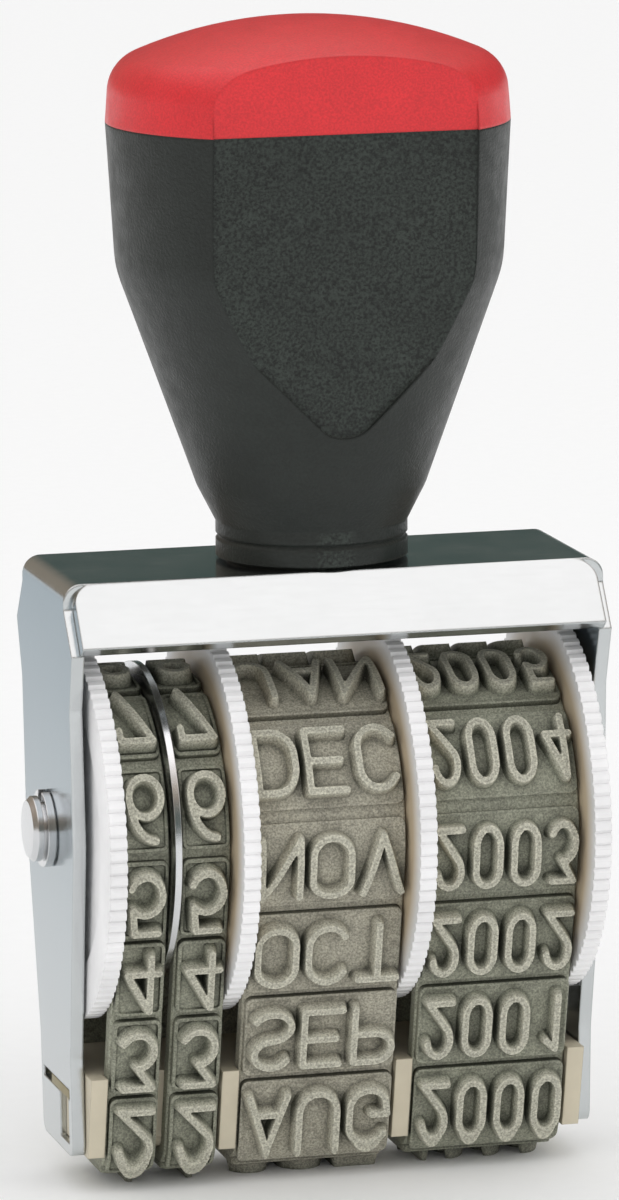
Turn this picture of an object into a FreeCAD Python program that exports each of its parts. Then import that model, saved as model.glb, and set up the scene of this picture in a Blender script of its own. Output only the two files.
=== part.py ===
# Hand date stamp with four turning type bands.
# X runs along the axle, Y points to the back and Z points up.
# The origin is the middle of the row that prints, in the plane of its type faces.
import FreeCAD, Part
import Sketcher
import math
import os

# Driving sizes in millimetres
SIZES = {
    # Type bands
    "base_thickness": 1.2,
    "pad_thickness": 0.6,
    "type_relief": 0.95,
    "band_inner_radius": 9.5,
    "platen_half_flat": 2.8,
    "platen_corner_radius": 1.0,
    "axle_over_platen": 24.65,
    "day_band_width": 4.0,
    "word_band_width": 12.1,
    "pad_margin": 0.2,
    "pad_groove": 0.6,
    "type_length": 5.0,
    "month_letter_width": 3.75,
    "month_letter_gap": 0.2,
    "year_digit_width": 2.75,
    "year_digit_gap": 0.22,
    "day_digit_width": 3.1,
    # Thumbwheels, drums and divider
    "side_gap": 0.1,
    "wheel_radius": 14.6,
    "wheel_width": 1.3,
    "wheel_recess_radius": 11.0,
    "wheel_recess_depth": 0.2,
    "notch_depth": 0.32,
    "notch_half_width": 0.26,
    "spigot_radius": 5.0,
    "drum_gap": 0.2,
    "drum_wall": 1.4,
    "drum_web": 1.2,
    "drum_groove_depth": 0.4,
    "drum_groove_half_width": 0.5,
    "divider_radius": 12.3,
    "divider_thickness": 0.5,
    # Axle and its clips
    "axle_radius": 2.5,
    "running_gap": 0.05,
    "axle_reach": 1.7,
    "axle_end_chamfer": 0.35,
    "clip_thickness": 0.6,
    "clip_play": 0.2,
    "clip_stand_off": 0.1,
    "clip_groove_depth": 0.5,
    "clip_radius": 2.95,
    "clip_mouth_half_width": 0.6,
    # Sheet frame
    "sheet": 1.0,
    "end_gap": 0.05,
    "plate_lean": 0.6,
    "frame_lift": 0.05,
    "top_over_axle": 19.8,
    "bend_radius": 1.4,
    "top_half_depth": 7.0,
    "skirt_drop": 4.4,
    "skirt_forward": 3.3,
    "skirt_half_width": 20.25,
    "skirt_corner_radius": 1.8,
    "skirt_seam": 0.15,
    "side_half_depth": 8.1,
    "side_shoulder_over_axle": 10.4,
    "side_foot_half_depth": 5.0,
    "side_taper_growth": 0.1,
    "side_taper_height": 7.7,
    "foot_corner_radius": 1.0,
    "slot_stem_low": 0.9,
    "slot_bar_low": 4.4,
    "slot_bar_height": 0.8,
    "slot_bar_half": 4.4,
    "slot_stem_front": 4.0,
    "slot_stem_back": 1.0,
    # Platen and the bar that carries it
    "platen_height": 6.5,
    "platen_gap": 0.05,
    "bar_gap": 0.05,
    "bar_back": 1.6,
    "tongue_reach": 0.6,
    "tongue_slit_half": 0.2,
    "tongue_slit_foot": 0.8,
    # Handle
    "screw_radius": 2.0,
    "screw_hole_gap": 0.15,
    "screw_head_radius": 3.6,
    "screw_head_height": 2.0,
    "screw_depth": 14.0,
    "screw_slot_half_width": 0.5,
    "screw_slot_depth": 0.9,
    "washer_radius": 3.9,
    "washer_thickness": 0.8,
    "boss_radius": 6.5,
    "boss_height": 0.3,
    "collar_radius": 7.3,
    "collar_height": 1.5,
    "collar_groove": 0.25,
    "neck_height": 1.15,
    "throat_rise": 2.75,
    "throat_growth": 1.4,
    "cone_rise": 16.65,
    "cone_growth": 5.95,
    "wall_rise": 11.0,
    "wall_growth": 0.62,
    "throat_rounding": 3.0,
    "shoulder_rounding": 8.0,
    "panel_tip_height": 10.5,
    "panel_tip_depth": 10.1,
    "panel_growth": 1.05,
    "panel_half_width": 10.1,
    "panel_bend_height": 14.0,
    "panel_side_radius": 12.1,
    "panel_knee_half_width": 6.1,
    "panel_knee_height": 5.0,
    "panel_nose_half_width": 1.66,
    "panel_nose_height": 0.55,
    "panel_nose_radius": 2.78,
    "cap_wall_height": 4.3,
    "cap_wall_shrink": 0.32,
    "cap_crown": 3.5,
    "cap_rounding": 3.2,
    "spigot_cap_radius": 9.0,
    "spigot_cap_length": 4.0,
    "spigot_cap_gap": 0.1,
    # Overrun of every cut
    "overrun": 1.0,
}

# How many there are round a band, a wheel or a drum
MONTH_ROWS = 13
YEAR_ROWS = 13
DAY_ROWS = 14
WHEEL_NOTCHES = 96
DRUM_GROOVES = 12

doc = FreeCAD.newDocument("DateStamp")
sheet = doc.addObject("Spreadsheet::Sheet", "Sizes")
for row, (word, number) in enumerate(SIZES.items(), 1):
    sheet.set("A%d" % row, word)
    sheet.set("B%d" % row, str(number))
    sheet.setAlias("B%d" % row, word)
doc.recompute()


class Size:
    """A length: its value, and the formula that takes it from the sheet."""

    def __init__(self, value, formula):
        self.value = float(value)
        self.formula = formula

    def joined(self, other, sign, value):
        return Size(value, "(%s %s %s)" % (self.formula, sign, as_size(other).formula))

    def __add__(self, other):
        return self.joined(other, "+", self.value + as_size(other).value)

    def __sub__(self, other):
        return self.joined(other, "-", self.value - as_size(other).value)

    def __mul__(self, other):
        return self.joined(other, "*", self.value * as_size(other).value)

    def __truediv__(self, other):
        return self.joined(other, "/", self.value / as_size(other).value)

    def __neg__(self):
        return Size(-self.value, "(-%s)" % self.formula)


def as_size(number):
    return number if isinstance(number, Size) else Size(number, repr(number))


def size(word):
    return Size(SIZES[word], "Sizes.%s" % word)


def root(length):
    return Size(math.sqrt(length.value), "sqrt(%s)" % length.formula)


def slope_angle(rise, run):
    """The angle in degrees whose tangent is rise over run."""
    return Size(math.degrees(math.atan(rise.value / run.value)), "atan(%s / %s)" % (rise.formula, run.formula))


def noted(word, length):
    """Puts a length that was worked out on the sheet, under a name of its own."""
    noted_words.append(word)
    place_on_sheet = len(SIZES) + len(noted_words)
    sheet.set("A%d" % place_on_sheet, word)
    sheet.set("B%d" % place_on_sheet, "=" + length.formula.replace("Sizes.", ""))
    sheet.setAlias("B%d" % place_on_sheet, word)
    doc.recompute()
    return Size(length.value, "Sizes.%s" % word)


noted_words = []
ZERO = Size(0, "0")
OVER = size("overrun")

# Places that follow from the sizes
platen_z = size("base_thickness") + size("pad_thickness") + size("type_relief")
axle_z = platen_z + size("axle_over_platen")
foot_z = platen_z + size("frame_lift")
top_z = axle_z + size("top_over_axle")
pad_offset = size("base_thickness") + size("pad_thickness")

# Heights and radii of the grip, from the top plate to its upper rim
boss_z = top_z + size("boss_height")
collar_z = boss_z + size("collar_height")
neck_z = collar_z + size("neck_height")
throat_z = neck_z + size("throat_rise")
shoulder_z = throat_z + size("cone_rise")
grip_z = shoulder_z + size("wall_rise")
throat_radius = size("collar_radius") + size("throat_growth")
shoulder_radius = throat_radius + size("cone_growth")
grip_radius = shoulder_radius + size("wall_growth")

# Rounding between the cap's wall and its crown, so that it touches both
cap_wall_z = grip_z + size("cap_wall_height")
shrink = size("cap_wall_shrink")
cap_edge_radius = grip_radius - shrink
crown = size("cap_crown")
crown_radius = noted("crown_radius", (cap_edge_radius * cap_edge_radius + crown * crown) / (crown * 2))
crown_centre_z = noted("crown_centre_z", cap_wall_z + crown - crown_radius)
wall_length = noted("wall_length", root(size("cap_wall_height") * size("cap_wall_height") + shrink * shrink))
wall_in = noted("wall_in", size("cap_wall_height") / wall_length)
wall_down = noted("wall_down", shrink / wall_length)
rounding = size("cap_rounding")
from_x = noted("from_x", grip_radius - wall_in * rounding)
from_z = noted("from_z", grip_z - wall_down * rounding - crown_centre_z)
along = noted("along", from_z * wall_in - from_x * wall_down)
deep = crown_radius - rounding
touch_run = noted("touch_run", root(along * along - from_x * from_x - from_z * from_z + deep * deep) - along)
centre_x = noted("centre_x", from_x - wall_down * touch_run)
centre_z = noted("centre_z", from_z + wall_in * touch_run)

# Stack of wheels, bands and divider along the axle, left to right
stack = [
    ("wheel", "day_tens", size("wheel_width")),
    ("band", "day_tens", size("day_band_width")),
    ("divider", "day", size("divider_thickness")),
    ("band", "day_units", size("day_band_width")),
    ("wheel", "day_units", size("wheel_width")),
    ("band", "month", size("word_band_width")),
    ("wheel", "month", size("wheel_width")),
    ("band", "year", size("word_band_width")),
    ("wheel", "year", size("wheel_width")),
]
gap = size("side_gap")
stack_length = -gap
for kind, name, width in stack:
    stack_length = stack_length + width + gap
stack_half = stack_length / 2
left_x = {}
x = -stack_half
for kind, name, width in stack:
    left_x[kind, name] = x
    x = x + width + gap


def inner_half(height):
    """Half the width between the side plates at a height: they lean in towards the foot."""
    return stack_half + size("end_gap") + size("plate_lean") * (height - foot_z) / (top_z - foot_z)


def outer_half(height):
    return inner_half(height) + size("sheet")


# Helpers for bodies, sketches and features
def new_body(name):
    body = doc.addObject("PartDesign::Body", name)
    body.Label = name
    return body


def place(body, x=None, z=None, turned=False):
    """Sets a body along the axle, at a height, and half turned about Z when its drum points left."""
    if turned:
        body.Placement = FreeCAD.Placement(FreeCAD.Vector(), FreeCAD.Rotation(FreeCAD.Vector(0, 0, 1), 180))
    if x is not None:
        body.setExpression(".Placement.Base.x", x.formula)
    if z is not None:
        body.setExpression(".Placement.Base.z", z.formula)


def origin_plane(body, role):
    return [item for item in body.Origin.OriginFeatures if item.Role == role][0]


def new_sketch(body, name, role, offset=None, rise=None, tilt=None):
    sketch = body.newObject("Sketcher::SketchObject", name)
    sketch.AttachmentSupport = [(origin_plane(body, role), "")]
    sketch.MapMode = "FlatFace"
    if tilt is not None:
        turn = FreeCAD.Rotation(FreeCAD.Vector(1, 0, 0), tilt.value)
        sketch.AttachmentOffset = FreeCAD.Placement(FreeCAD.Vector(), turn)
        sketch.setExpression(".AttachmentOffset.Rotation.Angle", tilt.formula)
    if rise is not None:
        sketch.setExpression(".AttachmentOffset.Base.y", rise.formula)
    if offset is not None:
        sketch.setExpression(".AttachmentOffset.Base.z", offset.formula)
    return sketch


def vector(point):
    return FreeCAD.Vector(point[0].value, point[1].value, 0)


def tie(sketch, kind, length, *where):
    index = sketch.addConstraint(Sketcher.Constraint(kind, *where, length.value))
    sketch.setExpression("Constraints[%d]" % index, length.formula)


def tie_point(sketch, geo, end, point):
    """Ties a point of the sketch to the lengths that place it."""
    for kind, axis, length in (("DistanceX", -2, point[0]), ("DistanceY", -1, point[1])):
        if length is ZERO:
            sketch.addConstraint(Sketcher.Constraint("PointOnObject", geo, end, axis))
        else:
            tie(sketch, kind, length, -1, 1, geo, end)


def bulged(start, end, radius):
    """An arc between two points; a positive radius bulges to the right of the way."""
    middle = (start + end) * 0.5
    half = (end - start).Length / 2
    way = (end - start).normalize()
    right = FreeCAD.Vector(way.y, -way.x, 0)
    reach = math.sqrt(radius * radius - half * half)
    side = 1 if radius > 0 else -1
    crown = middle + right * side * (abs(radius) - reach)
    return Part.Arc(start, crown, end).toShape().Curve, crown


def outline(sketch, points):
    """A closed outline. A point with a third entry starts an arc of that radius."""
    first = sketch.GeometryCount
    count = len(points)
    flipped = []
    for index, point in enumerate(points):
        start = vector(point)
        end = vector(points[(index + 1) % count])
        if len(point) == 2:
            sketch.addGeometry(Part.LineSegment(start, end), False)
            flipped.append(False)
            continue
        arc = Part.Arc(start, bulged(start, end, point[2].value)[1], end)
        sketch.addGeometry(arc, False)
        placed = sketch.Geometry[first + index]
        flipped.append((placed.StartPoint - start).Length > (placed.EndPoint - start).Length)
    for index, point in enumerate(points):
        after = (index + 1) % count
        leaving = 1 if flipped[index] else 2
        arriving = 2 if flipped[after] else 1
        sketch.addConstraint(Sketcher.Constraint("Coincident", first + index, leaving, first + after, arriving))
        tie_point(sketch, first + index, 2 if flipped[index] else 1, point)
    for index, point in enumerate(points):
        if len(point) == 3:
            radius = point[2] if point[2].value > 0 else -point[2]
            tie(sketch, "Radius", radius, first + index)


def rectangle(sketch, low, high):
    outline(sketch, [low, (high[0], low[1]), high, (low[0], high[1])])


def circle(sketch, centre, radius):
    geo = sketch.addGeometry(Part.Circle(vector(centre), FreeCAD.Vector(0, 0, 1), radius.value), False)
    tie_point(sketch, geo, 3, centre)
    tie(sketch, "Radius", radius, geo)


def mirrored_points(points):
    """The points of a half outline, followed by the same ones on the other side."""
    return points + [(-point[0],) + tuple(point[1:]) for point in reversed(points)]


def pad(body, sketch, length, both=False, back=False):
    feature = body.newObject("PartDesign::Pad", sketch.Name + "_pad")
    feature.Profile = sketch
    feature.SideType = "Symmetric" if both else "One side"
    feature.Reversed = back
    feature.setExpression("Length", length.formula)
    return settle(body, feature)


def pocket(body, sketch, length=None, both=False, back=False):
    feature = body.newObject("PartDesign::Pocket", sketch.Name + "_pocket")
    feature.Profile = sketch
    feature.SideType = "Symmetric" if both else "One side"
    feature.Reversed = back
    if length is None:
        feature.Type = "ThroughAll"
    else:
        feature.setExpression("Length", length.formula)
    before = body.Shape.Volume
    settle(body, feature)
    if not feature.Shape.Volume < before:
        raise ValueError(feature.Name + " cuts nothing")
    return feature


def revolve(body, sketch, axis):
    feature = body.newObject("PartDesign::Revolution", sketch.Name + "_turn")
    feature.Profile = sketch
    feature.ReferenceAxis = (sketch, [axis])
    feature.Angle = 360
    return settle(body, feature)


def settle(body, feature):
    body.Tip = feature
    doc.recompute()
    if "Invalid" in feature.State or "Error" in feature.State or feature.Shape.isNull():
        raise ValueError(feature.Name + " can't be built")
    return feature


def round_edges(body, radius, chosen, kind="Fillet"):
    """Rounds, or chamfers, the edges of the last feature that the test picks."""
    base = body.Tip
    names = ["Edge%d" % number for number, edge in enumerate(base.Shape.Edges, 1) if chosen(edge)]
    if not names:
        raise ValueError(body.Name + " has no such edge")
    feature = body.newObject("PartDesign::" + kind, "%s_%s" % (body.Name, kind.lower()))
    feature.Base = (base, names)
    feature.setExpression("Radius" if kind == "Fillet" else "Size", radius.formula)
    return settle(body, feature)


def near(number, length):
    return math.isclose(number, length.value, rel_tol=0, abs_tol=1e-4)


def runs_along(edge, axis, second, third):
    """True for a straight edge along an axis whose two other coordinates have these sizes, either sign."""
    if len(edge.Vertexes) != 2 or edge.Curve.TypeId != "Part::GeomLine":
        return False
    start, end = [list(vertex.Point) for vertex in edge.Vertexes]
    one, other = [index for index in range(3) if index != axis]
    straight = math.isclose(start[one], end[one], abs_tol=1e-6) and math.isclose(start[other], end[other], abs_tol=1e-6)
    return straight and near(abs(start[one]), second) and near(start[other], third)


def is_round(edge, radius):
    return not edge.Degenerated and edge.Curve.TypeId == "Part::GeomCircle" and near(edge.Curve.Radius, radius)


def ring_at(edge, height, radius):
    """True for a circle about Z, or an arc of one, of this radius at this height."""
    return is_round(edge, radius) and near(edge.Curve.Center.z, height)


def mirror(body, features, role):
    feature = body.newObject("PartDesign::Mirrored", body.Name + "_mirrored")
    feature.Originals = features
    feature.MirrorPlane = (origin_plane(body, role), [""])
    return settle(body, feature)


def repeat(body, original, count):
    """Repeats a feature round the body's own X axis."""
    feature = body.newObject("PartDesign::PolarPattern", original.Name + "_repeat")
    feature.Originals = [original]
    feature.Axis = (origin_plane(body, "X_Axis"), [""])
    feature.Angle = 360
    feature.Occurrences = count
    return settle(body, feature)


# Path of a band over its drum and under the platen, seen along the axle
corner_z = platen_z + size("platen_corner_radius")
reach = math.hypot(size("platen_half_flat").value, (axle_z - corner_z).value)
radius_step = size("band_inner_radius") - size("platen_corner_radius")
spread = math.atan2(size("platen_half_flat").value, (axle_z - corner_z).value)
band_tilt = math.asin(radius_step.value / reach) - spread
straight_run = math.sqrt(reach ** 2 - radius_step.value ** 2)
pitch_line = size("base_thickness") / 2


def band_runs():
    """Lengths of the front half of the pitch line: flat, corner, straight and half the drum."""
    corner = (size("platen_corner_radius") + pitch_line).value * (math.pi / 2 - band_tilt)
    drum = (size("band_inner_radius") + pitch_line).value * (math.pi / 2 + band_tilt)
    return size("platen_half_flat").value, corner, straight_run, drum


def band_point(run, offset):
    """The point of the band at a run from the middle of the platen, this far out from its inner face."""
    flat, corner, straight, drum = band_runs()
    half = flat + corner + straight + drum
    run = run % (2 * half)
    side = -1
    if run > half:
        run = 2 * half - run
        side = 1
    low = corner_z.value
    corner_radius = size("platen_corner_radius").value
    if run <= flat:
        across, up = run, platen_z.value - offset
    elif run <= flat + corner:
        turn = (run - flat) / (corner_radius + pitch_line.value)
        across = flat + (corner_radius + offset) * math.sin(turn)
        up = low - (corner_radius + offset) * math.cos(turn)
    elif run <= flat + corner + straight:
        along = run - flat - corner
        across = flat + (corner_radius + offset) * math.cos(band_tilt) + along * math.sin(band_tilt)
        up = low - (corner_radius + offset) * math.sin(band_tilt) + along * math.cos(band_tilt)
    else:
        radius = size("band_inner_radius").value
        turn = (run - flat - corner - straight) / (radius + pitch_line.value) - band_tilt
        across = (radius + offset) * math.cos(turn)
        up = axle_z.value + (radius + offset) * math.sin(turn)
    return FreeCAD.Vector(side * across, up, 0)


def band_loop(sketch, offset):
    """The closed line of a band this far out from its inner face: two arcs on the platen, one on the drum."""
    first = sketch.GeometryCount
    centre = FreeCAD.Vector(0, axle_z.value, 0)
    big = (size("band_inner_radius") + offset).value
    small = (size("platen_corner_radius") + offset).value
    half = size("platen_half_flat").value
    lean = band_tilt
    up = FreeCAD.Vector(0, 0, 1)
    right = FreeCAD.Vector(half, corner_z.value, 0)
    left = FreeCAD.Vector(-half, corner_z.value, 0)
    out = FreeCAD.Vector(math.cos(lean), -math.sin(lean), 0)
    out_left = FreeCAD.Vector(-math.cos(lean), -math.sin(lean), 0)
    down = FreeCAD.Vector(0, -1, 0)
    sketch.addGeometry(Part.ArcOfCircle(Part.Circle(centre, up, big), -lean, math.pi + lean), False)
    sketch.addGeometry(Part.LineSegment(centre + out_left * big, left + out_left * small), False)
    sketch.addGeometry(Part.ArcOfCircle(Part.Circle(left, up, small), math.pi + lean, 1.5 * math.pi), False)
    sketch.addGeometry(Part.LineSegment(left + down * small, right + down * small), False)
    sketch.addGeometry(Part.ArcOfCircle(Part.Circle(right, up, small), 1.5 * math.pi, 2 * math.pi - lean), False)
    sketch.addGeometry(Part.LineSegment(right + out * small, centre + out * big), False)
    for index in range(6):
        after = first + (index + 1) % 6
        sketch.addConstraint(Sketcher.Constraint("Tangent", first + index, 2, after, 1))
    tie_point(sketch, first, 3, (ZERO, axle_z))
    tie(sketch, "Radius", size("band_inner_radius") + offset, first)
    tie(sketch, "Radius", size("platen_corner_radius") + offset, first + 2)
    tie(sketch, "Radius", size("platen_corner_radius") + offset, first + 4)
    tie_point(sketch, first + 2, 3, (-size("platen_half_flat"), corner_z))
    tie(sketch, "DistanceX", size("platen_half_flat"), -1, 1, first + 4, 3)


def row_half(station, length, offset):
    """Half of a row along the pitch line: on the drum the band opens up, but the rows keep their length."""
    around = 2 * sum(band_runs())
    if min(station % around, -station % around) <= sum(band_runs()[:3]):
        return length / 2
    radius = size("band_inner_radius").value
    return length / 2 * (radius + pitch_line.value) / (radius + offset)


def band_grooves(body, name, rows, length, low, high):
    """Cuts the grooves between rows of this length, from one depth out to another."""
    sketch = new_sketch(body, name, "YZ_Plane")
    pitch = 2 * sum(band_runs()) / rows
    for row in range(rows):
        start = row * pitch + row_half(row * pitch, length, low)
        end = (row + 1) * pitch - row_half((row + 1) * pitch, length, low)
        middle = (start + end) / 2
        corners = [
            band_point(start, low),
            band_point(middle, low),
            band_point(end, low),
            band_point(end, high),
            band_point(middle, high),
            band_point(start, high),
        ]
        first = sketch.GeometryCount
        for index, corner in enumerate(corners):
            after = corners[(index + 1) % len(corners)]
            sketch.addGeometry(Part.LineSegment(corner, after), False)
        for index in range(len(corners)):
            after = first + (index + 1) % len(corners)
            sketch.addConstraint(Sketcher.Constraint("Coincident", first + index, 2, after, 1))
    return pocket(body, sketch, both=True)


def make_band(name, width, rows, columns, column_width, column_gap):
    """A type band: a closed base, a pad under each row, and raised blocks for its characters."""
    body = new_body("band_" + name)
    centre = left_x["band", name] + width / 2
    place(body, x=centre)
    base = new_sketch(body, name + "_base", "YZ_Plane")
    band_loop(base, size("base_thickness"))
    band_loop(base, ZERO)
    pad(body, base, width, both=True)
    pads = new_sketch(body, name + "_pads", "YZ_Plane")
    band_loop(pads, pad_offset)
    band_loop(pads, size("base_thickness"))
    pad(body, pads, width - size("pad_margin") * 2, both=True)
    pitch = 2 * sum(band_runs()) / rows
    high = (platen_z + OVER).value
    pad_length = pitch - size("pad_groove").value
    band_grooves(body, name + "_pad_grooves", rows, pad_length, size("base_thickness").value, high)
    for column in range(columns):
        shift = (column_width + column_gap) * (column - (columns - 1) / 2)
        letters = new_sketch(body, "%s_type_%d" % (name, column + 1), "YZ_Plane", offset=shift)
        band_loop(letters, platen_z)
        band_loop(letters, pad_offset)
        pad(body, letters, column_width, both=True)
    band_grooves(body, name + "_type_grooves", rows, size("type_length").value, pad_offset.value, high)
    return body


def make_wheel(name, turned):
    """A serrated thumbwheel, its recessed face outwards."""
    body = new_body("thumbwheel_" + name)
    x = left_x["wheel", name]
    place(body, x=x + size("wheel_width") if turned else x, z=axle_z, turned=turned)
    disc = new_sketch(body, name + "_disc", "YZ_Plane")
    circle(disc, (ZERO, ZERO), size("wheel_radius"))
    circle(disc, (ZERO, ZERO), size("spigot_radius"))
    pad(body, disc, size("wheel_width"))
    face = new_sketch(body, name + "_face", "YZ_Plane")
    circle(face, (ZERO, ZERO), size("wheel_recess_radius"))
    pocket(body, face, size("wheel_recess_depth"), back=True)
    notch = new_sketch(body, name + "_notch", "YZ_Plane")
    rim = size("wheel_radius")
    half = size("notch_half_width")
    high = rim + size("notch_depth")
    outline(notch, [(ZERO, rim - size("notch_depth")), (half * 2, high), (-half * 2, high)])
    cut = pocket(body, notch, both=True)
    repeat(body, cut, WHEEL_NOTCHES)
    return body


def make_drum(name, width, turned):
    """A drum that carries a band: a spigot in its wheel, a rim with grip grooves and a web."""
    body = new_body("drum_" + name)
    x = left_x["wheel", name]
    place(body, x=x + size("wheel_width") if turned else x, z=axle_z, turned=turned)
    profile = new_sketch(body, name + "_profile", "XY_Plane")
    bore = size("axle_radius") + size("running_gap")
    rim = size("band_inner_radius") - size("drum_gap")
    start = size("wheel_width")
    end = start + width + size("side_gap")
    web = start + size("drum_web")
    outline(profile, [
        (size("wheel_recess_depth"), bore),
        (end, bore),
        (end, size("spigot_radius")),
        (web, size("spigot_radius")),
        (web, rim - size("drum_wall")),
        (end, rim - size("drum_wall")),
        (end, rim),
        (start, rim),
        (start, size("spigot_radius")),
        (size("wheel_recess_depth"), size("spigot_radius")),
    ])
    revolve(body, profile, "H_Axis")
    groove = new_sketch(body, name + "_groove", "YZ_Plane", offset=start)
    half = size("drum_groove_half_width")
    rectangle(groove, (-half, rim - size("drum_groove_depth")), (half, rim + OVER))
    cut = pocket(body, groove, width + size("side_gap") + OVER, back=True)
    repeat(body, cut, DRUM_GROOVES)
    return body


# Frame: a sheet folded down at both sides, with a skirt at the front and the back
frame = new_body("frame")
shell = new_sketch(frame, "frame_shell", "XZ_Plane")
under_z = top_z - size("sheet")
outline(shell, mirrored_points([
    (-outer_half(foot_z), foot_z),
    (-outer_half(top_z), top_z),
]) + mirrored_points([
    (inner_half(foot_z), foot_z),
    (inner_half(top_z), under_z),
]))
skirt_length = root(size("skirt_drop") * size("skirt_drop") + size("skirt_forward") * size("skirt_forward"))
normal_out = size("skirt_drop") / skirt_length
normal_up = size("skirt_forward") / skirt_length
seam_step = size("sheet") + size("skirt_seam")
brow_depth = size("top_half_depth") + size("skirt_forward") - normal_out * seam_step
brow_z = top_z - size("skirt_drop") - normal_up * seam_step
pad(frame, shell, brow_depth * 2, both=True)
round_edges(frame, size("bend_radius"), lambda edge: runs_along(edge, 1, outer_half(top_z), top_z))
inner_bend = size("bend_radius") - size("sheet")
round_edges(frame, inner_bend, lambda edge: runs_along(edge, 1, inner_half(top_z), under_z))
trim = new_sketch(frame, "frame_side_outline", "YZ_Plane")
drop_at_top = normal_up * seam_step + normal_out * seam_step * size("skirt_drop") / size("skirt_forward")
for hand in (1, -1):
    outline(trim, [
        (size("top_half_depth") * hand, top_z + OVER),
        (size("top_half_depth") * hand, top_z - drop_at_top),
        (brow_depth * hand, brow_z),
        (size("side_half_depth") * hand, axle_z + size("side_shoulder_over_axle")),
        (size("side_half_depth") * hand, axle_z),
        ((size("side_foot_half_depth") + size("side_taper_growth")) * hand, foot_z + size("side_taper_height")),
        (size("side_foot_half_depth") * hand, foot_z - OVER),
        ((brow_depth + OVER) * hand, foot_z - OVER),
        ((brow_depth + OVER) * hand, top_z + OVER),
    ])
pocket(frame, trim, both=True)
foot_depth = size("side_foot_half_depth")


def foot_corner(edge):
    if edge.Curve.TypeId != "Part::GeomLine" or len(edge.Vertexes) != 2:
        return False
    ends = [vertex.Point for vertex in edge.Vertexes]
    low = all(near(end.z, foot_z) for end in ends)
    outer = all(abs(end.y) > (foot_depth - size("side_taper_growth") / 2).value for end in ends)
    return low and outer and abs(ends[0].x - ends[1].x) > size("sheet").value / 2


round_edges(frame, size("foot_corner_radius"), foot_corner)
skirt_tilt = -slope_angle(size("skirt_forward"), size("skirt_drop"))
skirt = new_sketch(frame, "frame_skirt", "XZ_Plane", offset=size("top_half_depth"), rise=top_z, tilt=skirt_tilt)
corner = size("skirt_corner_radius")
wide = size("skirt_half_width")
outline(skirt, [
    (-wide, -skirt_length),
    (wide, -skirt_length),
    (wide, -corner, corner),
    (wide - corner, ZERO),
    (corner - wide, ZERO, corner),
    (-wide, -corner),
])
skirt_pad = pad(frame, skirt, size("sheet"), back=True)
mirror(frame, [skirt_pad], "XZ_Plane")
axle_hole = new_sketch(frame, "frame_axle_hole", "YZ_Plane")
circle(axle_hole, (ZERO, axle_z), size("axle_radius") + size("running_gap"))
pocket(frame, axle_hole, both=True)
slot = new_sketch(frame, "frame_t_slot", "YZ_Plane")
slot_low = foot_z + size("slot_bar_low")
slot_high = slot_low + size("slot_bar_height")
outline(slot, [
    (-size("slot_stem_front"), foot_z + size("slot_stem_low")),
    (-size("slot_stem_back"), foot_z + size("slot_stem_low")),
    (-size("slot_stem_back"), slot_low),
    (size("slot_bar_half"), slot_low),
    (size("slot_bar_half"), slot_high),
    (-size("slot_bar_half"), slot_high),
    (-size("slot_bar_half"), slot_low),
    (-size("slot_stem_front"), slot_low),
])
pocket(frame, slot, both=True)
screw_hole = new_sketch(frame, "frame_screw_hole", "XY_Plane")
circle(screw_hole, (ZERO, ZERO), size("screw_radius") + size("screw_hole_gap"))
pocket(frame, screw_hole, both=True)

# Axle with a groove for a clip near each rounded end
axle = new_body("axle")
place(axle, z=axle_z)
axle_half = outer_half(axle_z) + size("axle_reach")
clip_x = outer_half(axle_z) + size("clip_stand_off")
groove_end_x = clip_x + size("clip_thickness") + size("clip_play")
groove_radius = size("axle_radius") - size("clip_groove_depth")
axle_profile = new_sketch(axle, "axle_profile", "XY_Plane")
outline(axle_profile, mirrored_points([
    (axle_half, ZERO),
    (axle_half, size("axle_radius")),
    (groove_end_x, size("axle_radius")),
    (groove_end_x, groove_radius),
    (clip_x, groove_radius),
    (clip_x, size("axle_radius")),
]))
revolve(axle, axle_profile, "H_Axis")


def axle_rim(edge):
    return is_round(edge, size("axle_radius")) and near(abs(edge.Curve.Center.x), axle_half)


round_edges(axle, size("axle_end_chamfer"), axle_rim, kind="Chamfer")

# Two clips, open at the foot, their ears up
left_clip = new_body("left_clip")
place(left_clip, x=clip_x, z=axle_z)
ring = new_sketch(left_clip, "clip_ring", "YZ_Plane")
circle(ring, (ZERO, ZERO), size("clip_radius"))
circle(ring, (ZERO, ZERO), groove_radius)
pad(left_clip, ring, size("clip_thickness"))
mouth = new_sketch(left_clip, "clip_mouth", "YZ_Plane")
mouth_half = size("clip_mouth_half_width")
rectangle(mouth, (-mouth_half, ZERO), (mouth_half, size("clip_radius") + OVER))
pocket(left_clip, mouth, both=True)
right_clip = doc.addObject("Part::Mirroring", "right_clip")
right_clip.Source = left_clip
right_clip.Normal = FreeCAD.Vector(1, 0, 0)
doc.recompute()
clips = doc.addObject("Part::Compound", "axle_clips")
clips.Label = "axle_clips"
clips.Links = [left_clip, right_clip]
doc.recompute()

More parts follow.
